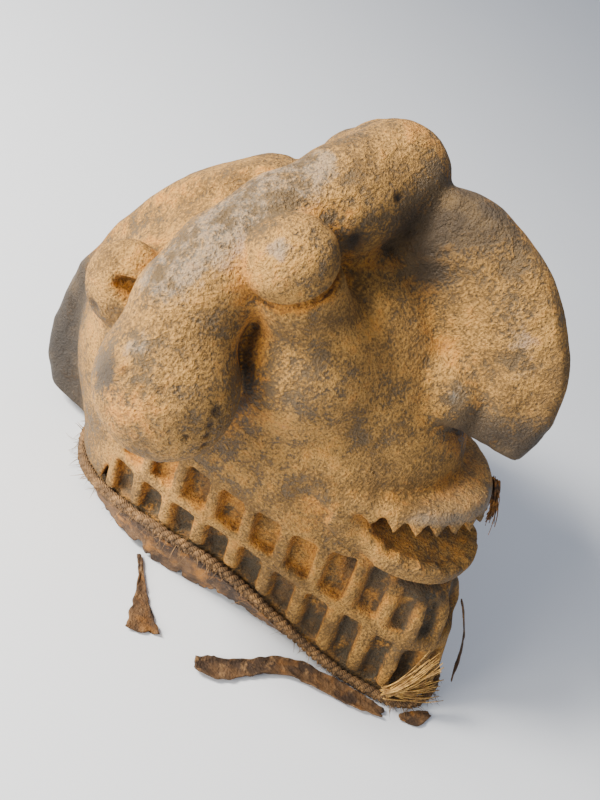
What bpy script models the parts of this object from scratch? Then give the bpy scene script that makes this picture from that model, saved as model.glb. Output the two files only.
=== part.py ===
"""Carved wooden helmet mask in the Mambila manner, resting on its rim.

One hollow wooden head with a horn yoke and balls, stub eyes, a hooked nose, an open
mouth with teeth, a beard grid and a crest; a plaited fibre cord round the rim; bark
strips and fibre tufts caught under the cord.  Metres, +Z up, face towards -Y.
"""
import math

import bpy
import numpy as np
import openvdb

# ---------------------------------------------------------------- driving sizes
MASK_LENGTH = 0.400        # chin to back of the crest
WALL = 0.017               # carved wall of the hollow head
BEARD_DEPTH = 0.009        # depth of the beard recesses
BEARD_PITCH = 0.026        # spacing of the beard ribs round the jaw
LIP_TOOTH = 0.0105         # height of an upper tooth
GRID_STEP = 0.0024         # sampling step of the carved form
WOOD_TRIANGLES = 7600      # facets kept on the carved head
FIT_GAP = 0.0004           # clearance between the wood and what is tied to it
CORD_RADIUS = 0.0044       # plaited cord
CORD_SEAT = 0.005          # rebate cut in the foot of the wall for the cord
CORD_STEPS = 104
CORD_SIDES = 5
TAUT = 12                  # how far the cord bridges the hollows of the outline
BARK_THICK = 0.0018        # bark strips

UNIT = MASK_LENGTH / 400.0  # the carving is drawn in four-hundredths of its length
MIDDLE = 19.0               # the middle of the whole lies this far behind the carving's own zero
BAND_TOP = 110.0            # top of the beard band, in units above the rim plane
EDGE_ROUND = 4.0


# ---------------------------------------------------------------- form of the wood
def join(a, b, k):
    """Union of two solids with a fillet of about k."""
    h = np.clip(1.0 - np.abs(a - b) / k, 0.0, 1.0)
    return np.minimum(a, b) - h * h * k * 0.25


def common(a, b, k):
    """Intersection of two solids with a rounded edge of about k."""
    return -join(-a, -b, k)


def egg(x, y, z, centre, radii):
    x, y, z = ((v - c) / r for v, c, r in zip((x, y, z), centre, radii))
    near = np.sqrt(x * x + y * y + z * z) + 1e-9
    slope = np.sqrt((x / radii[0]) ** 2 + (y / radii[1]) ** 2 + (z / radii[2]) ** 2) + 1e-9
    return near * (near - 1.0) / slope


def limb(x, y, z, start, end, r_start, r_end):
    step = [b - a for a, b in zip(start, end)]
    along = sum((v - a) * s for v, a, s in zip((x, y, z), start, step))
    t = np.clip(along / sum(s * s for s in step), 0.0, 1.0)
    gap = sum((v - a - t * s) ** 2 for v, a, s in zip((x, y, z), start, step))
    return np.sqrt(gap) - (r_start + (r_end - r_start) * t)


def profile(t, stations, values, soft):
    """Smooth curve through a few stations."""
    fine = np.linspace(stations[0], stations[-1], 181)
    rough = np.interp(fine, stations, values)
    kernel = np.hanning(2 * soft + 3)[1:-1]
    kernel /= kernel.sum()
    return np.interp(t, fine, np.convolve(np.pad(rough, soft, mode="edge"), kernel, "valid"))


def rim_height(y):
    """The rim arches up along each side between chin and nape."""
    t = np.clip((y + 118.0) / 262.0, 0.0, 1.0)
    return 34.0 * np.maximum(np.sin(math.pi * t ** 1.3), 0.0) ** 1.3


def jaw_plan(x, y, z):
    """Distance to the jaw outline, which flares towards the rim."""
    side = np.abs(x)
    rise = np.clip(z / 120.0, 0.0, 1.2)
    chin_y, chin_r = -131.0 + 53.0 * rise, 44.0 + 2.0 * rise
    cheek_y, cheek_r = 58.0, 91.0 - 2.0 * rise
    length = cheek_y - chin_y
    k = (cheek_r - chin_r) / length
    t = np.clip(((y - chin_y) + side * k / np.sqrt(1.0 - k * k)) / length, 0.0, 1.0)
    jaw = np.sqrt(side ** 2 + (y - chin_y - t * length) ** 2) - (chin_r + (cheek_r - chin_r) * t)
    nape = np.sqrt(side ** 2 + (y - 76.0) ** 2) - 79.0
    return join(jaw, nape, 12.0), chin_y, chin_r


def plain_head(x, y, z):
    """Skull, jaw, face and muzzle without what is carved on them."""
    d = egg(x, y, z, (0, 85, 125), (96, 122, 130))
    jaw = common(jaw_plan(x, y, z)[0], z - 96.0, 24.0)
    d = join(d, common(jaw, -z - 30.0, 4.0), 24.0)
    tilt = math.radians(33.0)
    v, w = y - 26.0, z - 144.0
    face = egg(x, v * math.cos(tilt) - w * math.sin(tilt),
               v * math.sin(tilt) + w * math.cos(tilt), (0, 0, 0), (84, 92, 150))
    d = join(d, face, 30.0)
    return join(d, egg(x, y, z, (0, -22, 158), (52, 50, 46)), 22.0)


YOKE = ((0, 76, 303, 33), (34, 88, 285, 30), (64, 104, 260, 29),
        (92, 113, 236, 28), (112, 113, 211, 29), (124, 105, 192, 33))
EYE_AXIS = np.array((0.474, 0.471, 0.744))
EYE_CAP = np.array((96.0, 85.0, 269.0))
NOSE_ANGLES = (-60, -15, 20, 45, 79, 103, 130)
NOSE_RADII = (102, 101, 96, 91, 93, 99, 98)
CREST_ANGLES = (-90, -70, -56, -50, -34, -19, 6, 23, 46, 74, 100)
CREST_RADII = (100, 120, 138, 149, 147, 136, 127, 126, 139, 161, 168)


def horns(d, x, y, z):
    d = join(d, egg(x, y, z, (50, 60, 210), (34, 42, 36)), 14.0)
    yoke = None
    for a, b in zip(YOKE[:-1], YOKE[1:]):
        part = limb(x, y, z, a[:3], b[:3], a[3], b[3])
        yoke = part if yoke is None else join(yoke, part, 14.0)
    d = join(d, yoke, 10.0)
    v, w = y - 96.0, z - 172.0
    fall, off = -0.48 * v - 0.88 * w, 0.88 * v - 0.48 * w
    ball = egg(x, fall, off, (130, 0, 0), (41, 46, 43))
    return join(d, common(ball, fall - 42.5, 5.0), 7.0)


def eyes(d, x, y, z):
    off = [v - c for v, c in zip((x, y, z), EYE_CAP)]
    depth = sum(o * a for o, a in zip(off, EYE_AXIS))
    radius = np.sqrt(np.maximum(sum(o * o for o in off) - depth ** 2, 0.0))
    neck = common(radius - 26.5 + 0.0625 * (depth + 19.0), depth + 19.0, 3.0)
    d = join(d, np.maximum(neck, -83.0 - depth), 8.0)
    d = join(d, np.maximum(radius - 21.0, np.maximum(depth + 8.0, -30.0 - depth)), 1.0)
    cap = (np.sqrt((radius / 27.5) ** 2 + ((depth + 3.0) / 24.0) ** 2) - 1.0) * 25.0
    return join(d, common(cap, -(depth + 13.0), 3.0), 1.0)


def nose(d, x, y, z):
    u, v = 2.0 - y, z - 230.0
    reach = np.sqrt(u * u + v * v)
    angle = np.degrees(np.arctan2(v, u))
    edge = reach - profile(angle, NOSE_ANGLES, NOSE_RADII, 9)
    ridge = (np.sqrt(((edge + 28.0) / 28.0) ** 2 + (x / 24.0) ** 2) - 1.0) * 24.0
    facet = common(x + 0.30 * (edge + 33.0) - 20.5, x - 0.45 * (edge + 33.0) - 20.5, 1.5)
    ridge = common(common(ridge, facet, 2.5), (angle - 128.0) * math.pi / 180.0 * reach, 12.0)
    web = common(x - 17.0, edge + 26.0, 6.0)
    wing = egg(x, y, z, (15, -26, 216), (20, 31, 27))
    beak = join(join(ridge, web, 6.0), wing, 6.0)
    under = 194.5 - 0.12 * y - z + 0.25 * x
    return join(d, common(beak, under, 3.0), 5.0)


def crest_and_ears(d, x, y, z):
    v, w = y - 92.0, z - 112.0
    angle = np.degrees(np.arctan2(w, v))
    outer = profile(angle, CREST_ANGLES, CREST_RADII, 5)
    scallop = 1.6 * np.abs(np.sin(np.radians(angle) * 8.0))
    fin = common(np.sqrt(v * v + w * w) - outer + scallop, x - 24.0, 14.0)
    d = join(d, np.maximum(fin, 96.0 - y), 10.0)
    ear = egg(x, y, z, (68, 166, 162), (20, 27, 31))
    ear = common(ear, -egg(x, y, z, (90, 150, 172), (20, 19, 9)), 2.5)
    return join(d, ear, 3.5)


def lips(d, x, y, z):
    """Both lips; also the lip coordinates that the teeth and the mouth use."""
    tilt = math.radians(31.0)
    v, w = y + 12.0, z - 128.0
    along = v * math.cos(tilt) - w * math.sin(tilt)
    across = v * math.sin(tilt) + w * math.cos(tilt)
    across = across + 0.004 * np.clip(-40.0 - along, 0.0, None) ** 2 - 0.22 * np.clip(along + 55.0, 0.0, 60.0)
    broad = 67.0 + 0.5 * np.clip(along + 42.0, 0.0, 40.0)
    upper = (np.sqrt((x / broad) ** 2 + (np.minimum(along + 30.0, 0.0) / 67.0) ** 2) - 1.0) * 66.0
    broad = 64.0 + 0.85 * np.clip(y + 48.0, 0.0, 24.0)
    lower = (np.sqrt((x / broad) ** 2 + (np.minimum(y + 48.0, 0.0) / 76.0) ** 2) - 1.0) * 66.0
    tray = z - 116.0 - 0.39 * np.clip(y + 70.0, 0.0, 50.0)
    shelf = common(common(upper, np.abs(across) - 6.0, 4.0), along + 8.0, 5.0)
    d = join(d, shelf, 6.0)
    d = join(d, common(common(lower, np.abs(tray) - 7.0, 4.0), y + 26.0, 5.0), 6.0)
    return d, upper, along, across, lower, tray


def beard(d, x, y, z):
    plan, chin_y, chin_r = jaw_plan(x, y, z)
    round_chin = chin_r * np.arctan2(x, chin_y - y)
    along = np.where(y < chin_y, round_chin, chin_r * math.pi / 2.0 + y - chin_y)
    base = rim_height(y)
    row_height = (BAND_TOP - 6.0 - base) / 2.0
    up = z - base - 4.0
    row = np.clip(np.floor(up / row_height), 0, 1)
    in_row = up - (row + 0.5) * row_height
    pitch = BEARD_PITCH / UNIT
    shifted = along + 0.14 * (up - row_height) + row * 5.0
    in_cell = (shifted / pitch - np.floor(shifted / pitch) - 0.5) * pitch
    cell = common(np.abs(in_cell) - (pitch / 2.0 - 4.6), np.abs(in_row) - (row_height * 0.5 - 5.0), 3.0)
    cell = np.maximum(cell, np.maximum(y - 112.0, np.maximum(-up, up - 2.0 * row_height)))
    floor = -(np.minimum(plan, d) + BEARD_DEPTH / UNIT)
    return common(d, -np.maximum(cell, floor), 2.5)


def mouth_and_teeth(d, x, y, upper, along, across, lower, tray):
    tooth = LIP_TOOTH / UNIT
    turn = np.degrees(np.arctan2(x, -(along + 30.0)))
    point = tooth * (1.0 - np.abs((turn / 12.8) % 1.0 - 0.5) * 2.0)
    row = np.maximum(np.abs(upper + 4.5) - 3.6, np.maximum(across, -(across + 5.0 + point) * 0.8))
    d = join(d, np.maximum(row, turn - 98.0), 1.5)
    opening = np.maximum(common(6.5 - tray, across + 6.0, 3.0),
                         np.maximum(np.maximum(upper, lower) + 8.0, x - 64.0))
    d = common(d, -opening, 3.0)
    turn = np.degrees(np.arctan2(x, -(y + 48.0)))
    stump = 4.5 * (1.0 - np.abs((turn / 13.5) % 1.0 - 0.5) * 2.0)
    row = np.maximum(np.abs(lower + 5.0) - 4.0, np.maximum(4.0 - tray, (tray - 5.0 - stump) * 0.9))
    return join(d, np.maximum(row, turn - 98.0), 2.0)


def cord_seat(d, x, y, z):
    plan = jaw_plan(x, y, z)[0]
    up = z - rim_height(y) - 2.0 * CORD_RADIUS / UNIT - 2.4
    return common(d, -np.maximum(up, -(plan + CORD_SEAT / UNIT)), 1.5)


def carved(x, y, z):
    """Outside of the wood before the rim is cut and the head hollowed."""
    side = np.abs(x)
    d = plain_head(side, y, z)
    d = horns(d, side, y, z)
    d = eyes(d, side, y, z)
    d = nose(d, side, y, z)
    d = crest_and_ears(d, side, y, z)
    d, upper, along, across, lower, tray = lips(d, side, y, z)
    d = beard(d, side, y, z)
    d = cord_seat(d, side, y, z)
    return mouth_and_teeth(d, side, y, upper, along, across, lower, tray)


def helmet(x, y, z):
    d = np.maximum(carved(x, y, z), (rim_height(y) - z) * 0.9)
    hollow = plain_head(x, y, z) + WALL / UNIT
    return common(d, -hollow, EDGE_ROUND)


# ---------------------------------------------------------------- mesh tools
def material(name, colour, roughness):
    mat = bpy.data.materials.new(name)
    mat.use_nodes = True
    shader = mat.node_tree.nodes["Principled BSDF"]
    shader.inputs["Base Color"].default_value = (*colour, 1.0)
    shader.inputs["Roughness"].default_value = roughness
    shader.inputs["Metallic"].default_value = 0.0
    return mat


def add_object(name, points, faces, mat):
    mesh = bpy.data.meshes.new(name)
    points = np.asarray(points, float) - (0.0, MIDDLE * UNIT, 0.0)
    mesh.from_pydata(points.tolist(), [], [tuple(f) for f in faces])
    mesh.validate()
    for poly in mesh.polygons:
        poly.use_smooth = True
    mesh.materials.append(mat)
    obj = bpy.data.objects.new(name, mesh)
    bpy.context.scene.collection.objects.link(obj)
    return obj


def sweep(path, sides, widths, heights, closed, facing=(0.0, 0.0, 1.0)):
    """Skin round a path: an ellipse of given half width and half height at each point."""
    path = np.asarray(path, float)
    n = len(path)
    if closed:
        tangent = np.roll(path, -1, 0) - np.roll(path, 1, 0)
    else:
        tangent = np.gradient(path, axis=0)
    tangent /= np.linalg.norm(tangent, axis=1)[:, None]
    across = np.cross(tangent, facing)
    across /= np.linalg.norm(across, axis=1)[:, None]
    up = np.cross(across, tangent)
    turn = np.linspace(0.0, 2.0 * math.pi, sides, endpoint=False) + math.pi / sides
    points, faces = [], []
    for i in range(n):
        for a in turn:
            points.append(path[i] + across[i] * widths[i] * math.cos(a) + up[i] * heights[i] * math.sin(a))
    rings = n if closed else n - 1
    for i in range(rings):
        j = (i + 1) % n
        for k in range(sides):
            m = (k + 1) % sides
            faces.append((i * sides + k, j * sides + k, j * sides + m, i * sides + m))
    if not closed:
        faces.append(tuple(range(sides)))
        faces.append(tuple(reversed([(n - 1) * sides + k for k in range(sides)])))
    return points, faces


def grow(name, form, low, high, step, triangles, mat):
    """Closed skin of a form given by its distance, sampled at step and thinned to triangles."""
    axes = [np.arange(a, b, step) for a, b in zip(low, high)]
    x, y, z = np.meshgrid(*[axis.astype(np.float32) for axis in axes], indexing="ij")
    grid = openvdb.FloatGrid(1.0e3)
    grid.copyFromArray(form(x, y, z).astype(np.float32))
    points, corners, quads = grid.convertToPolygons(isovalue=0.0, adaptivity=0.0)
    points = (points * step + np.asarray(low)) * UNIT
    obj = add_object(name, points, quads.tolist() + corners.tolist(), mat)
    thin = obj.modifiers.new("facets", "DECIMATE")
    thin.decimate_type = "COLLAPSE"
    thin.ratio = triangles / (2.0 * len(quads) + len(corners))
    return obj


# ---------------------------------------------------------------- clear the scene
for old in list(bpy.data.objects):
    bpy.data.objects.remove(old, do_unlink=True)

wood = material("carved_wood", (0.30, 0.19, 0.10), 0.75)
fibre = material("plaited_fibre", (0.27, 0.17, 0.09), 0.90)
bark = material("bark_strip", (0.17, 0.10, 0.06), 0.90)
straw = material("dry_straw", (0.55, 0.36, 0.14), 0.85)

# ---------------------------------------------------------------- carved head
grow("helmet", helmet, (-177.6, -186.0, -8.0), (178.0, 226.0, 346.0), GRID_STEP / UNIT, WOOD_TRIANGLES, wood)


# ---------------------------------------------------------------- plaited cord
def rim_loop(count, lift, clear):
    """Closed loop round the wood, clear of it by a tube of radius clear, lift above the rim."""
    angle = np.linspace(0.0, 2.0 * math.pi, count, endpoint=False)
    reach = np.arange(60.0, 230.0, 0.4)
    dx, dy = np.sin(angle)[:, None], -np.cos(angle)[:, None]
    x, y = dx * reach, dy * reach
    z = rim_height(y) + lift
    blocked = np.zeros(x.shape, bool)
    for rise in (-40.0, 0.0, 40.0):
        flat = clear * math.cos(math.radians(rise))
        for turn in np.linspace(0.0, 2.0 * math.pi, 12, endpoint=False):
            blocked |= carved(x + flat * math.cos(turn), y + flat * math.sin(turn),
                              z + clear * math.sin(math.radians(rise))) < 0.0
    first = reach[len(reach) - 1 - np.argmax(blocked[:, ::-1], axis=1)] + 0.4
    bend = 1.0 / first
    for _ in range(TAUT):
        chord = (np.roll(bend, 1) + np.roll(bend, -1)) / (2.0 * math.cos(2.0 * math.pi / count))
        bend = np.minimum(bend, chord)
    x, y = dx[:, 0] / bend, dy[:, 0] / bend
    return np.stack((x, y, rim_height(y) + lift), axis=1)


cord_r = CORD_RADIUS / UNIT
loop = rim_loop(CORD_STEPS, cord_r + 0.6, cord_r + 1.0)
radii = [CORD_RADIUS] * CORD_STEPS
points, faces = sweep(np.array(loop) * UNIT, CORD_SIDES, radii, radii, True)
add_object("rim_cord", points, faces, fibre)


# ---------------------------------------------------------------- bark strips
def strip(name, route, half_widths, facing=(0.0, 0.0, 1.0)):
    """Flat strip of bark along a route given in carving units."""
    half = [BARK_THICK / 2.0 * 1.414] * len(route)
    points, faces = sweep(np.array(route) * UNIT, 4, [w * UNIT * 1.414 for w in half_widths],
                          half, False, facing)
    return add_object(name, points, faces, bark)


def hanging_band(name, first, last, drop):
    """Ragged band from the underside of the cord down and in to the floor."""
    half = BARK_THICK / UNIT / 2.0
    near = [p for p in loop if p[0] < 0.0 and last <= p[1] <= first]
    near.sort(key=lambda p: -p[1])
    rings = []
    for i, (x, y, z) in enumerate(near):
        top = z - cord_r - 0.9
        foot = max(0.8, top * (1.0 - drop[i % len(drop)]))
        share = (top - foot) / max(top, 1.0)
        inward = 12.0 * share
        rings.append(((x - half, y, top), (x - half + inward, y, foot),
                      (x + half + inward, y, foot), (x + half, y, top)))
    points = [np.array(corner) * UNIT for ring in rings for corner in ring]
    faces = [(3, 2, 1, 0), tuple(4 * (len(rings) - 1) + k for k in (0, 1, 2, 3))]
    for i in range(len(rings) - 1):
        for k in range(4):
            m = (k + 1) % 4
            faces.append((4 * i + k, 4 * i + m, 4 * i + 4 + m, 4 * i + 4 + k))
    return add_object(name, points, faces, bark)


lie = BARK_THICK / UNIT / 2.0 + 0.4
hanging_band("bark_band", 108.0, -12.0, (0.9, 1.0, 0.8, 0.97, 1.0, 0.86))
strip("bark_hanging", ((-88, 55, lie), (-99, 46, lie), (-112, 36, lie), (-124, 27, lie), (-136, 19, lie)),
      (2.0, 2.0, 4.0, 8.0, 13.0))
strip("bark_floor", ((-128, -21, lie + 2), (-121, -33, lie), (-110, -44, lie), (-96, -55, lie), (-82, -67, lie),
                     (-71.5, -84, lie), (-65, -105, lie), (-58.5, -127, lie), (-51, -149, lie)),
      (5, 8, 7, 6, 6, 6.5, 6.5, 6, 3.5))
strip("bark_chin", ((-43, -162, lie), (-34, -172, lie), (-20, -181.5, lie)), (2, 5.5, 2))
strip("bark_side", ((10, -141, 80), (10, -150, 71), (10, -161, 57), (10, -170, 41), (11, -177, 23), (13, -182, 12)),
      (2, 4, 4.5, 4, 4, 3), (0.2, -0.95, 0.2))


# ---------------------------------------------------------------- fibre tufts
def tuft(name, root, tips, r_root, r_tip, triangles, mat):
    """Bundle of straws fanning out from one root."""
    def form(x, y, z):
        d = None
        for tip in tips:
            blade = limb(x, y, z, root, tip, r_root, r_tip)
            d = blade if d is None else join(d, blade, 1.5)
        return d
    ends = np.array((root, *tips), float)
    low, high = ends.min(0) - r_root - 2.0, ends.max(0) + r_root + 2.0
    return grow(name, form, low, high, 0.8, triangles, mat)


tuft("straw_tuft", (-46, -140, 15), ((-33, -147, 62), (-27, -157, 50), (-21, -168, 36), (-19, -176, 20)),
     2.6, 1.3, 220, straw)
tuft("lip_tuft", (23, -102.5, 168), ((22, -107.5, 155), (22, -112.5, 146), (23, -116.5, 137)), 3.2, 1.6, 160, bark)
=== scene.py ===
import math
import bpy
import numpy as np
import openvdb
from mathutils import Matrix, Vector


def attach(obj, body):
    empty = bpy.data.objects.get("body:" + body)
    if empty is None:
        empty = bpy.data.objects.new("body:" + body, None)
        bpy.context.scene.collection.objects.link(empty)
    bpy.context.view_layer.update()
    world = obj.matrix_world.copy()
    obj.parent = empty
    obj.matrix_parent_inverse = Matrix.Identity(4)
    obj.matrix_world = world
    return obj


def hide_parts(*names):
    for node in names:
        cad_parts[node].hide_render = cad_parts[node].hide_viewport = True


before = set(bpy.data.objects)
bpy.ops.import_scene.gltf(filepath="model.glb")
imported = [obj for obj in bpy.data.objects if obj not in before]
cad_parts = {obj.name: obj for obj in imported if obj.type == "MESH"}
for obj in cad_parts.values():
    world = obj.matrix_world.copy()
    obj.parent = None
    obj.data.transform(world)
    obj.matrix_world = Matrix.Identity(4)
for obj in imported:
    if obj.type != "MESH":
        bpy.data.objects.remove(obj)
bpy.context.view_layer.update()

# Carved head: one block of wood, hollowed from below, with the yoke, eyes, nose, lips, beard and
# crest all cut from it. Sizes are millimetres, drawn for a mask 400 mm long.
WALL = 17.0
SKULL = ((0, 85, 125), (96, 122, 130))
CHIN_Y, CHIN_RADIUS = -131.0, 44.0
JAW_Y, JAW_RADIUS = 58.0, 91.0
NAPE_Y, NAPE_RADIUS = 76.0, 79.0
FACE_TILT = math.radians(33.0)
FACE_Y, FACE_Z = 26.0, 144.0
FACE_RADII = (84, 92, 150)
MUZZLE = ((0, -22, 158), (52, 50, 46))
CHEEK = ((60, 50, 197), (44, 50, 50))
BAND_TOP = 110.0
BEARD_DEPTH = 9.0
BEARD_PITCH = 26.0
RIB_HALF = 4.4
RECESS_TAPER = 0.36
CORD_RADIUS = 4.4
CORD_SEAT = 5.0
CARVING_STEP = 2.15
MIDDLE = (0.0, 19.0, 0.0)
GOUGE_DEPTH, PIT_DEPTH = 0.8, 3.0
YOKE = ((0, 76, 303, 33), (34, 88, 285, 30), (64, 104, 260, 29),
        (92, 113, 236, 28), (112, 113, 211, 29), (124, 105, 192, 33))
BALL_X, BALL_Y, BALL_Z = 130, 96.0, 172.0
BALL_RADII = (41, 46, 43)
BALL_FLAT = 42.5
EYE_AXIS = np.array((0.474, 0.471, 0.744))
EYE_CAP = np.array((96.0, 85.0, 269.0))
CAP_RADIUS, CAP_CUT = 27.5, 13.0
NECK_RADIUS, NECK_TOP = 26.5, 19.0
STEM_RADIUS = 21.0
NOSE_Y, NOSE_Z = 2.0, 230.0
NOSE_HALF, NOSE_DEEP = 24.0, 28.0
NOSE_WING = ((15, -26, 216), (20, 31, 27))
NOSE_ANGLES = (-60, -15, 20, 45, 79, 103, 130)
NOSE_RADII = (102, 101, 96, 91, 93, 99, 98)
CREST_Y, CREST_Z, CREST_HALF = 92.0, 112.0, 24.0
CREST_ANGLES = (-90, -70, -56, -50, -34, -19, 6, 23, 46, 74, 100)
CREST_RADII = (100, 120, 138, 149, 147, 136, 127, 126, 139, 161, 168)
EAR = ((68, 166, 162), (20, 27, 31))
EAR_NOTCH = ((90, 150, 172), (20, 19, 9))
LIP_TILT = math.radians(31.0)
LIP_Y, LIP_Z = -12.0, 128.0
TRAY_Z = 116.0
UPPER_TOOTH, UPPER_TURN = 10.5, 12.8
LOWER_STUMP, LOWER_TURN = 4.5, 13.5
BALL_PITS = ((-144, 61, 192, 3.4), (-147, 59, 184, 3.0), (-146, 58, 176, 2.6), (-144, 57, 168, 2.8),
             (-165, 89, 195, 2.2), (-166, 111, 190, 2.4), (-168, 103, 190, 2.0), (-157, 65, 175, 2.0))
FACE_PITS = ((-38, 62, 309, 3.0), (-60, 65, 283, 3.4), (-26, 49, 280, 2.8), (-84, 173, 144, 5.0),
             (-66, 122, 60, 2.0), (-86, 26, 181, 1.6))
STAINS = ((-19, 39, 293, 26), (-14, 32, 313, 24), (-12, 17, 322, 20), (-17, 24, 278, 16),
          (-12, -91, 224, 20), (-20, -63, 214, 17), (-163, 121, 179, 9), (-24, 204, 51, 46),
          (-24, 210, 96, 34), (-24, 186, 13, 40), (-21, 52, 275, 9), (-60, 65, 281, 9),
          (20, 30, 305, 30), (22, 200, 60, 44))
# Spots where a pale grey highlight is painted on the balls, the near eye's cap and the nose's wing.
HIGHLIGHT_SPOTS = ((-157, 114, 203, 13), (-116, 88, 279, 8), (-31, -38, 228, 10), (157, 114, 203, 11),
          (-30, -36, 236, 6))
DUST = ((-60, -60, 140, 50), (60, -60, 140, 50), (0, -80, 262, 24), (-72, 40, 262, 30), (-82, 166, 165, 34))
# Lines along the top of the yoke and the nose where a pale grey highlight is painted on.
YOKE_HIGHLIGHT_LINE = ((56, 108, 296), (132, 130, 232))
NOSE_HIGHLIGHT_LINE = ((25, -20, 302), (24, -60, 268))
BARE_DARK = (0.045, 0.027, 0.011)
BARE_BROWN = (0.120, 0.070, 0.023)
CRUST = (0.165, 0.084, 0.018)
CRUST_PALE = (0.470, 0.245, 0.052)
EARTH = (0.430, 0.170, 0.022)
EARTH_BRIGHT = (0.640, 0.270, 0.030)
# Pale grey of the painted highlight, also the rubbed grey of the lip's edge.
HIGHLIGHT_AND_WEAR_GREY = (0.250, 0.225, 0.185)
FLOOR_GREY = (0.060, 0.046, 0.027)
# Near black of the painted shade, also used to darken the foot of the crest.
SHADE_NEAR_BLACK = (0.018, 0.013, 0.009)


def join(a, b, k):
    """Two forms made one, the seam filled over a width k."""
    h = np.clip(1.0 - np.abs(a - b) / k, 0.0, 1.0)
    return np.minimum(a, b) - h * h * k * 0.25


def common(a, b, k):
    """What two forms share, its edge rounded over a width k."""
    return -join(-a, -b, k)


def egg(x, y, z, centre, radii):
    """Distance to an egg with three radii, near enough to cut and join with."""
    x, y, z = ((v - c) / r for v, c, r in zip((x, y, z), centre, radii))
    near = np.sqrt(x * x + y * y + z * z) + 1e-9
    slope = np.sqrt((x / radii[0]) ** 2 + (y / radii[1]) ** 2 + (z / radii[2]) ** 2) + 1e-9
    return near * (near - 1.0) / slope


def limb(x, y, z, start, end, r_start, r_end):
    """Distance to a round limb that changes radius from start to end."""
    step = [b - a for a, b in zip(start, end)]
    along = sum((v - a) * s for v, a, s in zip((x, y, z), start, step))
    t = np.clip(along / sum(s * s for s in step), 0.0, 1.0)
    gap = sum((v - a - t * s) ** 2 for v, a, s in zip((x, y, z), start, step))
    return np.sqrt(gap) - (r_start + (r_end - r_start) * t)


def profile(t, stations, values, soft):
    """Values along an outline, straight between its stations and softened."""
    fine = np.linspace(stations[0], stations[-1], 181)
    rough = np.interp(fine, stations, values)
    kernel = np.hanning(2 * soft + 3)[1:-1]
    kernel /= kernel.sum()
    return np.interp(t, fine, np.convolve(np.pad(rough, soft, mode="edge"), kernel, "valid"))


def rim_height(y):
    """The foot of the wall: on the floor at chin and nape, arched between them."""
    t = np.clip((y + 118.0) / 262.0, 0.0, 1.0)
    return 34.0 * np.maximum(np.sin(math.pi * t ** 1.3), 0.0) ** 1.3


def jaw_plan(x, y, z):
    """Level outline of the jaw: a narrow chin, wide cheeks and a round nape."""
    side = np.abs(x)
    rise = np.clip(z / 120.0, 0.0, 1.2)
    chin_y, chin_r = CHIN_Y + 53.0 * rise, CHIN_RADIUS + 2.0 * rise
    jaw_r = JAW_RADIUS - 2.0 * rise
    length = JAW_Y - chin_y
    k = (jaw_r - chin_r) / length
    t = np.clip(((y - chin_y) + side * k / np.sqrt(1.0 - k * k)) / length, 0.0, 1.0)
    jaw = np.sqrt(side ** 2 + (y - chin_y - t * length) ** 2) - (chin_r + (jaw_r - chin_r) * t)
    nape = np.sqrt(side ** 2 + (y - NAPE_Y) ** 2) - NAPE_RADIUS
    return join(jaw, nape, 12.0), chin_y, chin_r


def plain_head(x, y, z):
    d = egg(x, y, z, *SKULL)
    jaw = common(jaw_plan(x, y, z)[0], z - 96.0, 24.0)
    d = join(d, common(jaw, -z - 30.0, 4.0), 24.0)
    v, w = y - FACE_Y, z - FACE_Z
    face = egg(x, v * math.cos(FACE_TILT) - w * math.sin(FACE_TILT),
               v * math.sin(FACE_TILT) + w * math.cos(FACE_TILT), (0, 0, 0), FACE_RADII)
    d = join(d, face, 30.0)
    return join(d, egg(x, y, z, *MUZZLE), 22.0)


def horns(d, x, y, z):
    d = join(d, egg(x, y, z, *CHEEK), 12.0)
    yoke = None
    for a, b in zip(YOKE[:-1], YOKE[1:]):
        part = limb(x, y, z, a[:3], b[:3], a[3], b[3])
        yoke = part if yoke is None else join(yoke, part, 14.0)
    d = join(d, yoke, 10.0)
    v, w = y - BALL_Y, z - BALL_Z
    fall, off = -0.48 * v - 0.88 * w, 0.88 * v - 0.48 * w
    ball = egg(x, fall, off, (BALL_X, 0, 0), BALL_RADII)
    return join(d, common(ball, fall - BALL_FLAT, 5.0), 7.0)


def eyes(d, x, y, z):
    off = [v - c for v, c in zip((x, y, z), EYE_CAP)]
    depth = sum(o * a for o, a in zip(off, EYE_AXIS))
    radius = np.sqrt(np.maximum(sum(o * o for o in off) - depth ** 2, 0.0))
    neck = common(radius - NECK_RADIUS + 0.0625 * (depth + NECK_TOP), depth + NECK_TOP, 3.0)
    d = join(d, np.maximum(neck, -83.0 - depth), 8.0)
    d = join(d, np.maximum(radius - STEM_RADIUS, np.maximum(depth + 8.0, -30.0 - depth)), 1.0)
    cap = (np.sqrt((radius / CAP_RADIUS) ** 2 + ((depth + 3.0) / 24.0) ** 2) - 1.0) * 25.0
    return join(d, common(cap, -(depth + CAP_CUT), 3.0), 1.0)


def nose(d, x, y, z):
    u, v = NOSE_Y - y, z - NOSE_Z
    reach = np.sqrt(u * u + v * v)
    angle = np.degrees(np.arctan2(v, u))
    edge = reach - profile(angle, NOSE_ANGLES, NOSE_RADII, 9)
    ridge = (np.sqrt(((edge + NOSE_DEEP) / NOSE_DEEP) ** 2 + (x / NOSE_HALF) ** 2) - 1.0) * NOSE_HALF
    facet = common(x + 0.30 * (edge + 33.0) - 20.5, x - 0.45 * (edge + 33.0) - 20.5, 1.5)
    ridge = common(common(ridge, facet, 2.5), (angle - 128.0) * math.pi / 180.0 * reach, 12.0)
    web = common(x - 17.0, edge + 26.0, 6.0)
    wing = egg(x, y, z, *NOSE_WING)
    beak = join(join(ridge, web, 6.0), wing, 6.0)
    under = 194.5 - 0.12 * y - z + 0.25 * x
    return join(d, common(beak, under, 3.0), 5.0)


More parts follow.
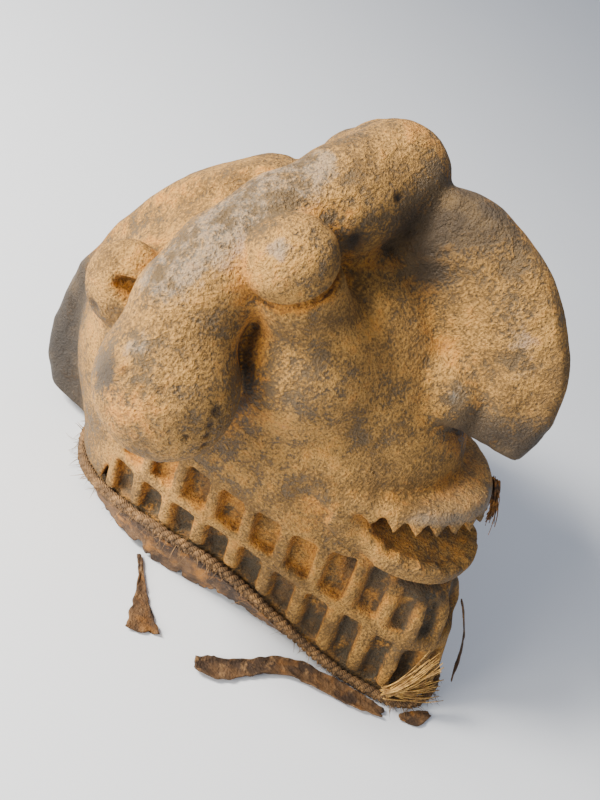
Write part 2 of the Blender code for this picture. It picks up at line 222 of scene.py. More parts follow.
def crest_and_ears(d, x, y, z):
    v, w = y - CREST_Y, z - CREST_Z
    angle = np.degrees(np.arctan2(w, v))
    outer = profile(angle, CREST_ANGLES, CREST_RADII, 5)
    scallop = 1.6 * np.abs(np.sin(np.radians(angle) * 8.0))
    fin = common(np.sqrt(v * v + w * w) - outer + scallop, x - CREST_HALF, 14.0)
    d = join(d, np.maximum(fin, 96.0 - y), 10.0)
    ear = common(egg(x, y, z, *EAR), -egg(x, y, z, *EAR_NOTCH), 2.5)
    return join(d, ear, 3.5)


def lips(d, x, y, z):
    v, w = y - LIP_Y, z - LIP_Z
    along = v * math.cos(LIP_TILT) - w * math.sin(LIP_TILT)
    across = v * math.sin(LIP_TILT) + w * math.cos(LIP_TILT)
    across = across + 0.004 * np.clip(-40.0 - along, 0.0, None) ** 2
    across = across - 0.22 * np.clip(along + 55.0, 0.0, 60.0)
    broad = 67.0 + 0.5 * np.clip(along + 42.0, 0.0, 40.0)
    upper = (np.sqrt((x / broad) ** 2 + (np.minimum(along + 30.0, 0.0) / 67.0) ** 2) - 1.0) * 66.0
    broad = 64.0 + 0.85 * np.clip(y + 48.0, 0.0, 24.0)
    lower = (np.sqrt((x / broad) ** 2 + (np.minimum(y + 48.0, 0.0) / 76.0) ** 2) - 1.0) * 66.0
    tray = z - TRAY_Z - 0.39 * np.clip(y + 70.0, 0.0, 50.0)
    shelf = common(common(upper, np.abs(across) - 6.0, 4.0), along + 8.0, 5.0)
    d = join(d, shelf, 6.0)
    d = join(d, common(common(lower, np.abs(tray) - 7.0, 4.0), y + 26.0, 5.0), 6.0)
    return d, upper, along, across, lower, tray


def beard(d, x, y, z):
    plan, chin_y, chin_r = jaw_plan(x, y, z)
    round_chin = chin_r * np.arctan2(x, chin_y - y)
    along = np.where(y < chin_y, round_chin, chin_r * math.pi / 2.0 + y - chin_y)
    base = rim_height(y)
    row_height = (BAND_TOP - 6.0 - base) / 2.0
    up = z - base - 4.0
    row = np.clip(np.floor(up / row_height), 0, 1)
    in_row = up - (row + 0.5) * row_height
    shifted = along + 0.14 * (up - row_height) + row * 5.0
    in_cell = (shifted / BEARD_PITCH - np.floor(shifted / BEARD_PITCH) - 0.5) * BEARD_PITCH
    taper = np.clip(-plan, 0.0, BEARD_DEPTH) * RECESS_TAPER
    cell = common(np.abs(in_cell) - (BEARD_PITCH / 2.0 - RIB_HALF) + taper,
                  np.abs(in_row) - (row_height * 0.5 - RIB_HALF) + taper, 4.0)
    cell = np.maximum(cell, np.maximum(y - 112.0, np.maximum(-up, up - 2.0 * row_height)))
    floor = -(np.minimum(plan, d) + BEARD_DEPTH)
    return common(d, -np.maximum(cell, floor), 2.5)


def cord_seat(d, x, y, z):
    plan = jaw_plan(x, y, z)[0]
    up = z - rim_height(y) - 2.0 * CORD_RADIUS - 2.4
    return common(d, -np.maximum(up, -(plan + CORD_SEAT)), 1.5)


def mouth_and_teeth(d, x, y, upper, along, across, lower, tray):
    turn = np.degrees(np.arctan2(x, -(along + 30.0)))
    point = UPPER_TOOTH * (1.0 - np.abs((turn / UPPER_TURN) % 1.0 - 0.5) * 2.0)
    row = np.maximum(np.abs(upper + 4.5) - 3.6, np.maximum(across, -(across + 5.0 + point) * 0.8))
    d = join(d, np.maximum(row, turn - 98.0), 1.5)
    opening = np.maximum(common(6.5 - tray, across + 6.0, 3.0),
                         np.maximum(np.maximum(upper, lower) + 8.0, x - 64.0))
    d = common(d, -opening, 3.0)
    turn = np.degrees(np.arctan2(x, -(y + 48.0)))
    stump = LOWER_STUMP * (1.0 - np.abs((turn / LOWER_TURN) % 1.0 - 0.5) * 2.0)
    row = np.maximum(np.abs(lower + 5.0) - 4.0, np.maximum(4.0 - tray, (tray - 5.0 - stump) * 0.9))
    return join(d, np.maximum(row, turn - 98.0), 2.0)


def helmet_half(x, y, z):
    """Distance to the smooth carved head on the side where x is zero or more."""
    d = plain_head(x, y, z)
    hollow = d + WALL
    d = horns(d, x, y, z)
    d = eyes(d, x, y, z)
    d = nose(d, x, y, z)
    d = crest_and_ears(d, x, y, z)
    d, upper, along, across, lower, tray = lips(d, x, y, z)
    d = beard(d, x, y, z)
    d = cord_seat(d, x, y, z)
    d = mouth_and_teeth(d, x, y, upper, along, across, lower, tray)
    d = np.maximum(d, (rim_height(y) - z) * 0.9)
    return common(d, -hollow, 4.0), hollow


def lattice_noise(points, cell, seed):
    """Smooth noise from -1 to 1 with lumps of about one cell."""
    p = points / cell
    base = np.floor(p).astype(np.int64)
    f = p - base
    f = f * f * (3.0 - 2.0 * f)
    total = np.zeros(len(points))
    for corner in range(8):
        o = np.array((corner & 1, corner >> 1 & 1, corner >> 2 & 1))
        q = base + o
        h = (q[:, 0] * 73856093) ^ (q[:, 1] * 19349663) ^ (q[:, 2] * 83492791) ^ (seed * 2654435)
        h = (h ^ (h >> 13)) * 1274126177
        value = ((h ^ (h >> 16)) & 65535) / 32767.5 - 1.0
        total += value * np.prod(np.where(o, f, 1.0 - f), axis=1)
    return total


def sample(grid, points, low, step):
    """Values of a grid at points, straight between its nodes."""
    p = np.clip((points - low) / step, 0.0, np.array(grid.shape) - 1.001)
    base = np.floor(p).astype(int)
    f = p - base
    total = np.zeros(len(points))
    for corner in range(8):
        o = np.array((corner & 1, corner >> 1 & 1, corner >> 2 & 1))
        q = base + o
        total += grid[q[:, 0], q[:, 1], q[:, 2]] * np.prod(np.where(o, f, 1.0 - f), axis=1)
    return total


def near_points(points, spots, spread):
    """1 at the listed spots, falling to 0 over each one's radius times spread."""
    best = np.zeros(len(points))
    for x, y, z, r in spots:
        gap = np.sqrt(((points - (x, y, z)) ** 2).sum(1)) / (r * spread)
        best = np.maximum(best, np.clip(1.3 - gap, 0.0, 1.0))
    return best


def mesh_object(name, points, faces, smooth=True):
    """Object from points in millimetres. The carving's own zero lies before the middle of the whole."""
    mesh = bpy.data.meshes.new(name)
    mesh.from_pydata(((np.asarray(points) - MIDDLE) * 0.001).tolist(), [], faces)
    mesh.polygons.foreach_set("use_smooth", [smooth] * len(mesh.polygons))
    obj = bpy.data.objects.new(name, mesh)
    bpy.context.scene.collection.objects.link(obj)
    return obj


def paint(obj, name, values):
    """Stores one number per vertex for the material to read."""
    layer = obj.data.attributes.new(name, "FLOAT", "POINT")
    layer.data.foreach_set("value", np.asarray(values, np.float32))


class Look:
    """A node material being built. Each call adds a node and gives back its output."""

    def __init__(self, name, roughness):
        self.material = bpy.data.materials.new(name)
        self.material.use_nodes = True
        self.tree = self.material.node_tree
        self.shader = self.tree.nodes["Principled BSDF"]
        self.shader.inputs["Roughness"].default_value = roughness
        self.place = self.tree.nodes.new("ShaderNodeTexCoord").outputs["Object"]

    def plug(self, value, socket):
        if isinstance(value, (int, float)):
            socket.default_value = value
        elif isinstance(value, tuple):
            socket.default_value = (*value, 1.0)
        else:
            self.tree.links.new(value, socket)

    def mask(self, name):
        node = self.tree.nodes.new("ShaderNodeAttribute")
        node.attribute_name = name
        return node.outputs["Fac"]

    def noise(self, size, detail):
        """Soft mottling with lumps of about size millimetres."""
        node = self.tree.nodes.new("ShaderNodeTexNoise")
        self.tree.links.new(self.place, node.inputs["Vector"])
        node.inputs["Scale"].default_value = 1000.0 / size
        node.inputs["Detail"].default_value = detail
        node.inputs["Roughness"].default_value = 0.6
        return node.outputs["Fac"]

    def cells(self, size, stretch):
        scaled = self.tree.nodes.new("ShaderNodeVectorMath")
        scaled.operation = "MULTIPLY"
        self.tree.links.new(self.place, scaled.inputs[0])
        scaled.inputs[1].default_value = stretch
        node = self.tree.nodes.new("ShaderNodeTexVoronoi")
        self.tree.links.new(scaled.outputs[0], node.inputs["Vector"])
        node.inputs["Scale"].default_value = 1000.0 / size
        return node.outputs["Distance"]

    def math(self, operation, a, b=0.0, c=0.0):
        node = self.tree.nodes.new("ShaderNodeMath")
        node.operation = operation
        self.plug(a, node.inputs[0])
        self.plug(b, node.inputs[1])
        self.plug(c, node.inputs[2])
        return node.outputs[0]

    def times(self, a, b):
        return self.math("MULTIPLY", a, b)

    def weigh(self, *parts):
        """Sum of values, each times its weight."""
        (value, weight), *rest = parts
        total = self.times(value, weight)
        for value, weight in rest:
            total = self.math("MULTIPLY_ADD", value, weight, total)
        return total

    def blend(self, factor, a, b):
        node = self.tree.nodes.new("ShaderNodeMix")
        node.data_type = "RGBA"
        self.plug(factor, node.inputs["Factor"])
        self.plug(a, node.inputs[6])
        self.plug(b, node.inputs[7])
        return node.outputs[2]

    def between(self, value, low, high):
        """0 below low, 1 above high, smooth in between."""
        node = self.tree.nodes.new("ShaderNodeMapRange")
        node.interpolation_type = "SMOOTHSTEP"
        self.plug(value, node.inputs["Value"])
        node.inputs["From Min"].default_value = low
        node.inputs["From Max"].default_value = high
        return node.outputs["Result"]

    def bump(self, height, distance):
        node = self.tree.nodes.new("ShaderNodeBump")
        node.inputs["Distance"].default_value = distance
        self.plug(height, node.inputs["Height"])
        return node.outputs["Normal"]

    def finish(self, obj, colour, normal=None, roughness=None):
        self.plug(colour, self.shader.inputs["Base Color"])
        if normal:
            self.plug(normal, self.shader.inputs["Normal"])
        if roughness:
            self.plug(roughness, self.shader.inputs["Roughness"])
        obj.data.materials.append(self.material)


# The form is worked out on a lattice for one half, mirrored, roughened by the adze and meshed.
axes = [np.arange(0.0, 178.0, CARVING_STEP), np.arange(-186.0, 226.0, CARVING_STEP),
        np.arange(-6.0, 344.0, CARVING_STEP)]
X, Y, Z = np.meshgrid(*[axis.astype(np.float32) for axis in axes], indexing="ij")
half, inside_half = helmet_half(X, Y, Z)
field = np.concatenate((half[:0:-1], half), axis=0).astype(np.float32)
inside = np.concatenate((inside_half[:0:-1], inside_half), axis=0)
low = np.array((-CARVING_STEP * (len(axes[0]) - 1), axes[1][0], axes[2][0]))
near = np.argwhere(np.abs(field) < 6.0)
spots = near * CARVING_STEP + low
inner = inside[tuple(near.T)] < 3.0
gouge = 0.65 * lattice_noise(spots, 17.0, 3) + 0.28 * lattice_noise(spots, 7.5, 5)
gouge += np.where(inner, 0.9, 0.0) * lattice_noise(spots, 11.0, 9)
coarse = np.clip(0.4 + 1.4 * lattice_noise(spots, 34.0, 17), 0.0, 1.4)
gouge += coarse * 0.40 * lattice_noise(spots, 4.4, 12)
gouge += coarse * 1.6 * np.clip(lattice_noise(spots, 5.5, 14) - 0.42, 0.0, 1.0)
pits = near_points(spots, BALL_PITS + FACE_PITS, 1.0)
field[tuple(near.T)] += (GOUGE_DEPTH * gouge + PIT_DEPTH * pits).astype(np.float32)
volume = openvdb.FloatGrid(1.0e3)
volume.copyFromArray(field)
points, corners, quads = volume.convertToPolygons(isovalue=0.0, adaptivity=0.01)
points = points * CARVING_STEP + low
helmet = mesh_object("helmet_carving", points, quads.tolist() + corners.tolist())

# What the finish goes by: how far in a place lies, how it stands out, and what part it is of.
normals = np.zeros(len(points) * 3)
helmet.data.vertices.foreach_get("normal", normals)
normals = normals.reshape(-1, 3)
hidden = sum(np.clip(1.0 - sample(field, points + normals * h, low, CARVING_STEP) / h, 0.0, 1.3)
             for h in (5.0, 10.0, 18.0, 30.0)) / 4.0
ridge = np.clip(1.0 + sample(field, points - normals * 7.0, low, CARVING_STEP) / 7.0, 0.0, 1.0)
within = sample(inside, points, low, CARVING_STEP)
px, py, pz = points.T
side_x = np.abs(px)
crest_foot = np.clip((py - 150.0) / 50.0, 0.0, 1.0) * np.clip((120.0 - pz) / 60.0, 0.0, 1.0)
crest_foot *= np.clip((40.0 - side_x) / 14.0, 0.0, 1.0)
# Runs of painted highlight along the top of the yoke and the nose.
yoke_highlight = np.clip(1.6 - np.abs(limb(side_x, py, pz, *YOKE_HIGHLIGHT_LINE, 3.0, 3.0)) / 16.0, 0.0, 1.0)
nose_highlight = np.clip(1.0 - np.abs(limb(side_x, py, pz, *NOSE_HIGHLIGHT_LINE, 3.0, 3.0)) / 14.0, 0.0, 1.0)
lip_edge = np.clip(1.3 - np.abs(lips(px * 0 + 99.0, side_x, py, pz)[3]) / 6.0, 0.0, 1.0)
lip_edge *= np.clip((-62.0 - py) / 10.0, 0.0, 1.0) * np.clip((pz - 128.0) / 6.0, 0.0, 1.0)
plan = jaw_plan(side_x, py, pz)[0]
in_band = np.clip((BAND_TOP + 2.0 - pz) / 6.0, 0.0, 1.0) * np.clip((116.0 - py) / 8.0, 0.0, 1.0)
in_band *= np.clip((within - 5.0) / 3.0, 0.0, 1.0)
rib = in_band * np.clip((plan + 4.0) / 3.0, 0.0, 1.0)
# hidden, hollow and pits also lay painted shade: near black in the deepest hollows, inside the shell, in
# pits.
paint(helmet, "hidden", hidden)
paint(helmet, "ridge", ridge)
paint(helmet, "hollow", np.clip((-within + 3.0) / 4.0, 0.0, 1.0))
# The foot of the crest, darkened towards near black.
paint(helmet, "crest_foot_dark", crest_foot)
# Where the pale grey highlight is painted; the wood there is also rubbed bare and smoother.
paint(helmet, "highlight_and_wear", np.maximum.reduce((yoke_highlight, nose_highlight, near_points(points, HIGHLIGHT_SPOTS, 1.0))))
paint(helmet, "stain", near_points(points, STAINS, 1.3))
paint(helmet, "dusty", np.maximum(0.8 * near_points(points, DUST, 1.2), rib))
paint(helmet, "recess", in_band * np.clip((-plan - 2.5) / 4.0, 0.0, 1.0))
paint(helmet, "edge", lip_edge)
paint(helmet, "pits", near_points(points, BALL_PITS + FACE_PITS, 1.1))

wood = Look("old_carved_wood", 0.8)
hidden_in, ridge_in, highlight_wear_in = wood.mask("hidden"), wood.mask("ridge"), wood.mask("highlight_and_wear")
stain_in = wood.mask("stain")
cloud, patch = wood.noise(80.0, 3.0), wood.noise(26.0, 6.0)
fleck, grain = wood.noise(6.5, 5.0), wood.noise(1.9, 4.0)
# Bare wood shows where ridges, rubbed runs under the painted highlight and stains have shed the dusty crust.
cover = wood.weigh((cloud, 0.9), (patch, 1.3), (fleck, 0.7), (grain, 0.9), (wood.mask("dusty"), 0.30),
                   (highlight_wear_in, -0.20), (ridge_in, -0.10), (stain_in, -0.34))
crusted = wood.between(cover, 1.58, 1.88)
bare = wood.blend(wood.between(patch, 0.40, 0.60), BARE_BROWN, BARE_DARK)
pale = wood.between(wood.weigh((patch, 0.5), (grain, 0.5)), 0.42, 0.60)
crust = wood.blend(pale, CRUST, CRUST_PALE)
# Orange earth lies in the hollows.
earthy = wood.between(wood.weigh((hidden_in, 1.2), (patch, 2.0), (fleck, 1.4)), 1.85, 2.55)
earth = wood.blend(wood.between(grain, 0.42, 0.62), EARTH, EARTH_BRIGHT)
crust = wood.blend(wood.times(earthy, 0.8), crust, earth)
colour = wood.blend(crusted, bare, crust)
# The floors of the beard recesses are dark and grey.
cut = wood.times(wood.mask("recess"), wood.between(wood.noise(14.0, 4.0), 0.30, 0.50))
colour = wood.blend(wood.times(cut, 0.9), colour, FLOOR_GREY)
# Painted highlight in pale grey on the yoke's top, the nose and a few spots; the lip's edge is rubbed grey.
pale_highlight_and_wear = wood.between(wood.weigh((highlight_wear_in, 1.0), (patch, 2.6), (fleck, 1.2)), 2.50, 3.15)
pale_highlight_and_wear = wood.math("MAXIMUM", pale_highlight_and_wear, wood.times(wood.mask("edge"), 0.8))
colour = wood.blend(wood.times(pale_highlight_and_wear, 0.5), colour, HIGHLIGHT_AND_WEAR_GREY)
# Stains and dark specks; near black painted shade in pits, inside and deepest hollows; darker crest foot.
colour = wood.blend(wood.times(stain_in, wood.between(patch, 0.28, 0.52)), colour, BARE_DARK)
speck = wood.between(wood.noise(1.5, 3.0), 0.54, 0.64)
colour = wood.blend(wood.times(speck, 0.6), colour, BARE_DARK)
dark = wood.weigh((wood.mask("pits"), 1.0), (wood.mask("crest_foot_dark"), 0.7), (wood.mask("hollow"), 0.75),
                  (wood.between(hidden_in, 0.66, 0.95), 0.7))
colour = wood.blend(wood.math("MINIMUM", dark, 0.92), colour, SHADE_NEAR_BLACK)
rough = wood.math("ADD", wood.weigh((crusted, 0.28), (pale_highlight_and_wear, -0.30)), 0.58)
height = wood.weigh((patch, 1.0), (grain, 0.9), (wood.cells(9.0, (1.0, 1.0, 0.6)), 0.35),
                    (fleck, wood.between(cloud, 0.38, 0.62)))
wood.finish(helmet, colour, wood.bump(height, 0.0034), rough)
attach(helmet, "root")
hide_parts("helmet")

# Plaited cord: three fibre strands laid flat round the foot of the wood, a closed ring tied on
# through the band, with loose fibre ends standing off it.
PLAIT_LENGTH = 15.0
STRAND_RADIUS = 2.2
STRAND_SIDES = 8
PATH_STEP = 1.2
FIBRE_BROWN = (0.110, 0.060, 0.024)
FIBRE_PALE = (0.380, 0.200, 0.070)
rng = np.random.default_rng(7)


def rim_path(count, out, lift):
    """Closed loop at a given distance outside the foot of the wall."""
    angle = np.linspace(0.0, 2.0 * math.pi, count, endpoint=False)
    dx, dy = np.sin(angle), -np.cos(angle)
    near_r, far_r = np.full(count, 30.0), np.full(count, 260.0)
    for _ in range(40):
        mid = (near_r + far_r) / 2.0
        outside = jaw_plan(dx * mid, dy * mid, rim_height(dy * mid) + lift)[0] > out
        far_r = np.where(outside, mid, far_r)
        near_r = np.where(outside, near_r, mid)
    x, y = dx * far_r, dy * far_r
    return np.stack((x, y, rim_height(y) + lift), axis=1)


def even_path(path, step):
    """The closed path again at even steps, and its length."""
    closed = np.vstack((path, path[:1]))
    run = np.concatenate(([0.0], np.cumsum(np.linalg.norm(np.diff(closed, axis=0), axis=1))))
    count = int(run[-1] / step)
    at = np.linspace(0.0, run[-1], count, endpoint=False)
    return np.stack([np.interp(at, run, closed[:, k]) for k in range(3)], axis=1), run[-1]


def tube(path, radius, sides, closed):
    """Tube round a path. radius is one number or one per point."""
    path = np.asarray(path, float)
    n = len(path)
    radius = np.broadcast_to(radius, n)
    tangent = np.roll(path, -1, 0) - np.roll(path, 1, 0) if closed else np.gradient(path, axis=0)
    tangent /= np.linalg.norm(tangent, axis=1)[:, None] + 1e-9
    guide = np.where(np.abs(tangent[:, 2:]) > 0.9, (1.0, 0.0, 0.0), (0.0, 0.0, 1.0))
    across = np.cross(tangent, guide)
    across /= np.linalg.norm(across, axis=1)[:, None]
    up = np.cross(across, tangent)
    turn = np.linspace(0.0, 2.0 * math.pi, sides, endpoint=False)
    ring = across[:, None] * np.cos(turn)[None, :, None] + up[:, None] * np.sin(turn)[None, :, None]
    points = (path[:, None] + ring * radius[:, None, None]).reshape(-1, 3)
    faces = []
    for i in range(n if closed else n - 1):
        j = (i + 1) % n
        for k in range(sides):
            m = (k + 1) % sides
            faces.append((i * sides + k, j * sides + k, j * sides + m, i * sides + m))
    if not closed:
        faces.append(tuple(range(sides)))
        faces.append(tuple(reversed([(n - 1) * sides + k for k in range(sides)])))
    return points, faces


def gather(parts):
    """One list of points and faces from several."""
    points, faces, count = [], [], 0
    for some, skin in parts:
        points.append(some)
        faces += [tuple(count + k for k in face) for face in skin]
        count += len(some)
    return np.vstack(points), faces


def hair(root, way, length, radius, droop, curl):
    """One thin fibre that leaves root along way and droops."""
    t = np.linspace(0.0, 1.0, 6)[:, None]
    side = np.cross(way, (0.0, 0.0, 1.0))
    path = root + way * length * t + side * curl * length * t ** 2
    path = path - np.array((0.0, 0.0, 1.0)) * droop * length * t ** 2
    path[:, 2] = np.maximum(path[:, 2], 0.5)
    return tube(path, radius * (1.15 - t[:, 0]), 3, False)


path, rim_length = even_path(rim_path(720, 0.4, CORD_RADIUS + 0.6), PATH_STEP)
tangent = np.roll(path, -1, 0) - np.roll(path, 1, 0)
tangent /= np.linalg.norm(tangent, axis=1)[:, None]
outward = np.cross(tangent, (0.0, 0.0, 1.0))
outward /= np.linalg.norm(outward, axis=1)[:, None]
upward = np.cross(outward, tangent)
turns = round(rim_length / PLAIT_LENGTH)
phase = np.linspace(0.0, 2.0 * math.pi * turns, len(path), endpoint=False)
strands, runs = [], []
for k in range(3):
    at = phase + k * 2.0 * math.pi / 3.0
    middle = path + upward * (2.1 * np.sin(at))[:, None] + outward * (1.2 * np.sin(2.0 * at))[:, None]
    fat = STRAND_RADIUS * (1.0 + 0.12 * np.sin(phase * 0.37 + k))
    strands.append(tube(middle, fat, STRAND_SIDES, True))
    turn = np.tile(np.arange(STRAND_SIDES) / STRAND_SIDES, len(path))
    runs.append(np.repeat(np.arange(len(path)) * PATH_STEP, STRAND_SIDES) / 4.0 + turn)
for _ in range(420):
    i = int(rng.integers(len(path)))
    way = outward[i] * rng.uniform(0.3, 1.0) + tangent[i] * rng.uniform(-1.0, 1.0)
    way = way + upward[i] * rng.uniform(-0.7, 0.5)
    way /= np.linalg.norm(way)
    strands.append(hair(path[i], way, rng.uniform(4.0, 14.0), rng.uniform(0.22, 0.5), rng.uniform(0.0, 0.5),
                        rng.uniform(-0.5, 0.5)))
points, faces = gather(strands)
cord = mesh_object("plaited_cord", points, faces)
run = np.concatenate(runs)
paint(cord, "run", np.concatenate((run, np.zeros(len(points) - len(run)))))
fibre = Look("plaited_plant_fibre", 0.9)
twist = fibre.math("FRACT", fibre.times(fibre.mask("run"), 4.0))
twist = fibre.math("ABSOLUTE", fibre.math("SUBTRACT", twist, 0.5))
tint = fibre.weigh((fibre.noise(7.0, 4.0), 1.0), (twist, 0.25))
colour = fibre.blend(fibre.between(tint, 0.45, 0.85), FIBRE_BROWN, FIBRE_PALE)
colour = fibre.blend(fibre.between(fibre.noise(30.0, 2.0), 0.5, 0.65), colour, FIBRE_BROWN)
bumps = fibre.math("ADD", twist, fibre.noise(1.5, 3.0))
fibre.finish(cord, colour, fibre.bump(bumps, 0.0012))
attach(cord, "root")
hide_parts("rim_cord")

# Bark band: a torn strip of bark caught under the cord along the near side, hanging in and down
# to the floor with a ragged lower edge.
BAND_BACK, BAND_FRONT = 112.0, -58.0
BARK_DARK = (0.040, 0.020, 0.009)
BARK_BROWN = (0.150, 0.074, 0.026)
BARK_PALE = (0.300, 0.165, 0.066)


def sheet(name, rows, thick):
    """Thin sheet from rows of points, each row running along it."""
    rows = np.asarray(rows, float)
    across, along = rows.shape[:2]
    points = rows.reshape(-1, 3)
    faces = []
    for i in range(across - 1):
        for k in range(along - 1):
            a = i * along + k
            faces.append((a, a + 1, a + along + 1, a + along))
    obj = mesh_object(name, points, faces)
    shell = obj.modifiers.new("thickness", "SOLIDIFY")
    shell.thickness = thick * 0.001
    shell.offset = 0.0
    return obj


def bark_look(obj, name, warmth):
    """Brown bark, flecked pale, with more or less earth on it."""
    bark = Look(name, 0.88)
    fleck = bark.noise(6.0, 5.0)
    colour = bark.blend(bark.between(bark.noise(22.0, 4.0), 0.38, 0.66), BARK_DARK, BARK_BROWN)
    colour = bark.blend(bark.times(bark.between(fleck, 0.52, 0.74), 0.75), colour, BARK_PALE)
    colour = bark.blend(bark.times(bark.between(bark.noise(14.0, 3.0), 0.5, 0.7), warmth), colour, EARTH)
    bark.finish(obj, colour, bark.bump(bark.math("ADD", fleck, bark.noise(1.8, 3.0)), 0.0014))


side = rim_path(2400, -0.8, 0.0)
side = side[(side[:, 0] < 0.0) & (side[:, 1] < BAND_BACK) & (side[:, 1] > BAND_FRONT)]
side = side[np.argsort(-side[:, 1])]
along = side * (0.0, 1.0, 0.0)
tear = 0.5 + 0.5 * lattice_noise(along, 9.0, 21) + 0.35 * lattice_noise(along, 3.0, 22)
tear = np.clip(1.08 - 0.42 * np.clip(tear, 0.0, 1.0), 0.4, 1.0)
rows = []
for share in np.linspace(0.0, 1.0, 9):
    drop = share * tear
    height = side[:, 2] * (1.0 - drop) + 0.9
    inward = 11.0 * share * tear
    wave = 1.3 * share * lattice_noise(side + (0.0, 0.0, share * 9.0), 7.0, 23)
    rows.append(np.stack((side[:, 0] + inward + wave - 2.0, side[:, 1], np.maximum(height, 0.9)), axis=1))
band = sheet("bark_band_torn", rows, 1.2)
bark_look(band, "dry_bark_band", 0.8)
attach(band, "root")
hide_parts("bark_band")

# Hanging strip: a narrow strip that has come out from under the cord and lies on the floor,
# widening to a torn end.


def ribbon(name, route, halves, thick, wave, seed, facing=(0.0, 0.0, 1.0), curl=0.0):
    """Torn strip along a route, with its half width at each place, wavy edges and a lengthways curl."""
    route = np.array(route, float)
    run = np.concatenate(([0.0], np.cumsum(np.linalg.norm(np.diff(route, axis=0), axis=1))))
    at = np.linspace(0.0, run[-1], max(24, int(run[-1] / PATH_STEP)))
    middle = np.stack([np.interp(at, run, route[:, k]) for k in range(3)], axis=1)
    kernel = np.hanning(9) / np.hanning(9).sum()
    for k in range(3):
        middle[:, k] = np.convolve(np.pad(middle[:, k], 4, mode="edge"), kernel, "valid")
    half = np.interp(at, run, halves)
    tangent = np.gradient(middle, axis=0)
    tangent /= np.linalg.norm(tangent, axis=1)[:, None]
    across = np.cross(tangent, facing)
    across /= np.linalg.norm(across, axis=1)[:, None]
    up = np.cross(across, tangent)
    rows = []
    for share in np.linspace(-1.0, 1.0, 11):
        torn = half * (1.0 + 0.18 * lattice_noise(middle + share * 40.0, 4.0, seed) * abs(share))
        lift = curl * half * share ** 2 + wave * lattice_noise(middle + share * 6.0, 8.0, seed + 1)
        rows.append(middle + across * (torn * share)[:, None] + up * np.abs(lift)[:, None])
    rows = np.array(rows)
    ragged = 2.2 * lattice_noise(rows[:, -1], 2.5, seed + 2)
    rows[:, -1] += tangent[-1] * ragged[:, None]
    return sheet(name, rows, thick)


HANGING_ROUTE = ((-86, 57, 2), (-99, 46, 1.6), (-111, 37, 1.4), (-124, 28, 1.2), (-136, 19, 1.2))
hanging = ribbon("bark_hanging_torn", HANGING_ROUTE, (1.6, 2.0, 4.0, 8.0, 13.5), 1.0, 1.6, 31, curl=0.12)
bark_look(hanging, "dry_bark_strip", 0.35)
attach(hanging, "root")
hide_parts("bark_hanging")

# Floor strip: a long strip of bark with its edges curled up, lying along the near side and on
# towards the chin.
FLOOR_ROUTE = ((-129, -20, 4), (-121, -33, 2.2), (-110, -44, 1.8), (-96, -55, 1.8), (-82, -67, 1.8),
               (-72, -84, 1.6), (-65, -105, 1.6), (-58.5, -127, 1.6), (-51, -149, 1.6))
FLOOR_HALVES = (5, 8, 7, 6, 6.5, 7.5, 7.5, 7, 4)
lying = ribbon("bark_floor_torn", FLOOR_ROUTE, FLOOR_HALVES, 1.1, 1.5, 41, curl=0.30)
bark_look(lying, "rolled_bark_strip", 0.25)
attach(lying, "root")
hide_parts("bark_floor")

# Chin scrap: a leaf-like flake of bark lying in front of the chin, torn off the strips and
# reddened by earth.
CHIN_ROUTE = ((-43, -161, 1.4), (-34, -172, 1.4), (-20, -181, 1.4))
scrap = ribbon("bark_chin_torn", CHIN_ROUTE, (2, 6.5, 2), 1.0, 1.5, 51)
bark_look(scrap, "bark_flake", 1.0)
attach(scrap, "root")
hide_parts("bark_chin")

# Side strip: a dark narrow strip tucked under the cord at the front of the chin and standing up
# along the beard.
SIDE_ROUTE = ((10, -141, 80), (10, -150, 71), (10, -161, 57), (10, -170, 41), (11, -177, 23), (13, -182, 12))
SIDE_HALVES = (1.6, 3.6, 4.4, 4.0, 4.0, 3.0)
standing = ribbon("bark_side_torn", SIDE_ROUTE, SIDE_HALVES, 1.0, 0.8, 61, facing=(0.2, -0.95, 0.2))
bark_look(standing, "dark_bark_strip", 0.1)
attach(standing, "root")
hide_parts("bark_side")

# Straw tuft: loose golden straws pushed under the cord at the chin, fanning up over the beard
# and out past the chin.
STRAWS = 70
STRAW_ROOT = (-46.0, -140.0, 15.0)
STRAW_TIPS = ((-33, -147, 62), (-27, -157, 50), (-21, -168, 36), (-19, -176, 20))
STRAW = (0.640, 0.370, 0.085)
STRAW_DARK = (0.230, 0.115, 0.030)
tips = np.array(STRAW_TIPS, float)
straws = []
for _ in range(STRAWS):
    pick = rng.uniform(0.0, 3.0)
    i = min(int(pick), 2)
    tip = tips[i] + (tips[i + 1] - tips[i]) * (pick - i) + rng.normal(0.0, 2.4, 3)
    root = STRAW_ROOT + rng.normal(0.0, 1.7, 3)
    tip = root + (tip - root) * rng.uniform(0.65, 1.05)
    t = np.linspace(0.0, 1.0, 8)[:, None]
    bow = np.array((rng.uniform(-3.0, 1.0), rng.uniform(-3.0, 0.0), rng.uniform(-2.0, 3.0)))
    path = root + (tip - root) * t + bow * np.sin(math.pi * t)
    straws.append(tube(path, rng.uniform(0.3, 0.75) * (1.1 - 0.6 * t[:, 0]), 5, False))
points, faces = gather(straws)
straw = mesh_object("straw_tuft_loose", points, faces)
dry = Look("dry_straw_stalks", 0.7)
dry.finish(straw, dry.blend(dry.between(dry.noise(5.0, 3.0), 0.35, 0.7), STRAW_DARK, STRAW),
           dry.bump(dry.noise(1.0, 2.0), 0.0006))
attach(straw, "root")
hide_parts("straw_tuft")

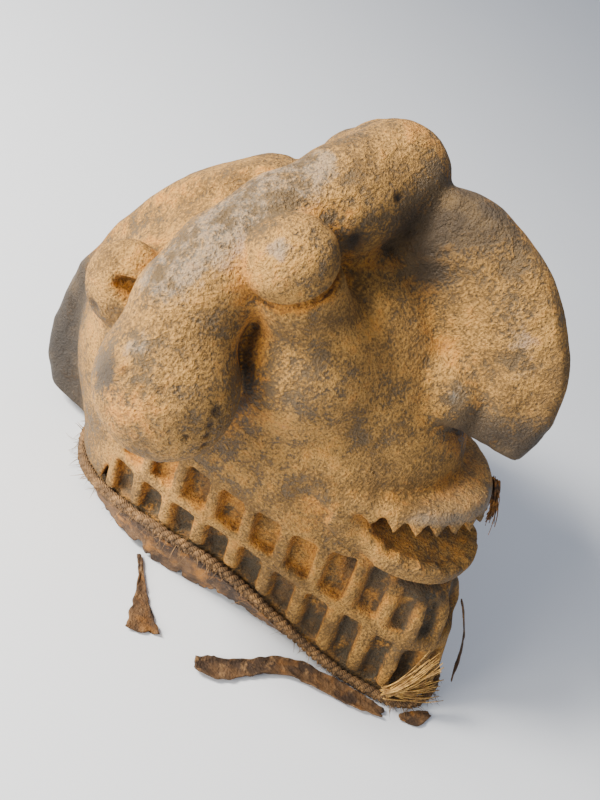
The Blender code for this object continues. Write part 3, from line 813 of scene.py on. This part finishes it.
# Lip tuft: a bundle of brown fibre that hangs from the far side of the upper lip, past its
# teeth.
LIP_STRANDS = 34
LIP_TUFT_ROOT = (22.5, -99.0, 168.0)
LIP_TUFT_TIP = (22.0, -118.0, 136.0)
strands = []
for _ in range(LIP_STRANDS):
    root = LIP_TUFT_ROOT + rng.normal(0.0, 1.5, 3)
    tip = LIP_TUFT_TIP + rng.normal(0.0, 2.6, 3)
    t = np.linspace(0.0, 1.0, 8)[:, None]
    bow = np.array((rng.uniform(-2.0, 2.0), rng.uniform(-4.0, -1.0), 0.0))
    path = root + (tip - root) * t * rng.uniform(0.7, 1.0) + bow * np.sin(math.pi * t)
    strands.append(tube(path, rng.uniform(0.3, 0.7) * (1.1 - 0.5 * t[:, 0]), 5, False))
points, faces = gather(strands)
bundle = mesh_object("lip_tuft_loose", points, faces)
tow = Look("brown_fibre_tuft", 0.85)
tow.finish(bundle, tow.blend(tow.between(tow.noise(6.0, 3.0), 0.35, 0.7), BARK_DARK, EARTH),
           tow.bump(tow.noise(1.0, 2.0), 0.0006))
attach(bundle, "root")
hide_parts("lip_tuft")

# Floor: a plain pale sheet that the mask rests on, large enough to have no edge in sight.
FLOOR_HALF = 9000.0
PAPER = (0.80, 0.83, 0.88)
PAPER_PALE = (0.84, 0.87, 0.92)
sheet_corners = [(x * FLOOR_HALF, y * FLOOR_HALF, 0.0) for x, y in ((-1, -1), (1, -1), (1, 1), (-1, 1))]
floor = mesh_object("pale_floor", sheet_corners, [(0, 1, 2, 3)], False)
paper = Look("pale_paper", 0.9)
paper.finish(floor, paper.blend(paper.noise(400.0, 2.0), PAPER, PAPER_PALE))

# Light: a soft warm light above and behind the near side, a weaker one lower down beside it, and
# an even cool light from all round.
WARM_WHITE = (1.0, 0.95, 0.86)
ROOM_WHITE = (0.84, 0.89, 1.0, 1.0)
LIGHT_AIM = (0.0, 0.0, 0.15)


def area_light(name, place, size, power):
    """Square lamp that faces the mask. Its place and size are metres, its power watts."""
    lamp = bpy.data.lights.new(name, "AREA")
    lamp.shape = "RECTANGLE"
    lamp.size = size
    lamp.size_y = size
    lamp.energy = power
    lamp.color = WARM_WHITE
    obj = bpy.data.objects.new(name, lamp)
    obj.location = place
    obj.rotation_mode = "QUATERNION"
    obj.rotation_quaternion = (Vector(LIGHT_AIM) - Vector(place)).to_track_quat("-Z", "Y")
    bpy.context.scene.collection.objects.link(obj)


area_light("soft_key", (-0.80, 1.30, 1.15), 0.45, 92.0)
area_light("side_light", (-1.45, 0.80, 0.68), 0.6, 28.0)
world = bpy.data.worlds.new("room")
world.use_nodes = True
world.node_tree.nodes["Background"].inputs["Color"].default_value = ROOM_WHITE
world.node_tree.nodes["Background"].inputs["Strength"].default_value = 0.52
bpy.context.scene.world = world

# Camera: close to the near side, rolled so that the rim runs down across the picture.
lens = bpy.data.cameras.new("camera")
lens.sensor_fit = "VERTICAL"
lens.sensor_height = 36.0
lens.lens = 45.0
lens.clip_start = 0.02
camera = bpy.data.objects.new("camera", lens)
place = Matrix.Translation((-0.566767, -0.019318, 0.533733))
right = Vector((0.406737, -0.766164, 0.497553))
up = Vector((0.414741, 0.640141, 0.646691))
back = -Vector((0.813975, 0.056677, -0.578128))
camera.matrix_world = place @ Matrix((right, up, back)).transposed().to_4x4()
bpy.context.scene.collection.objects.link(camera)
bpy.context.scene.camera = camera
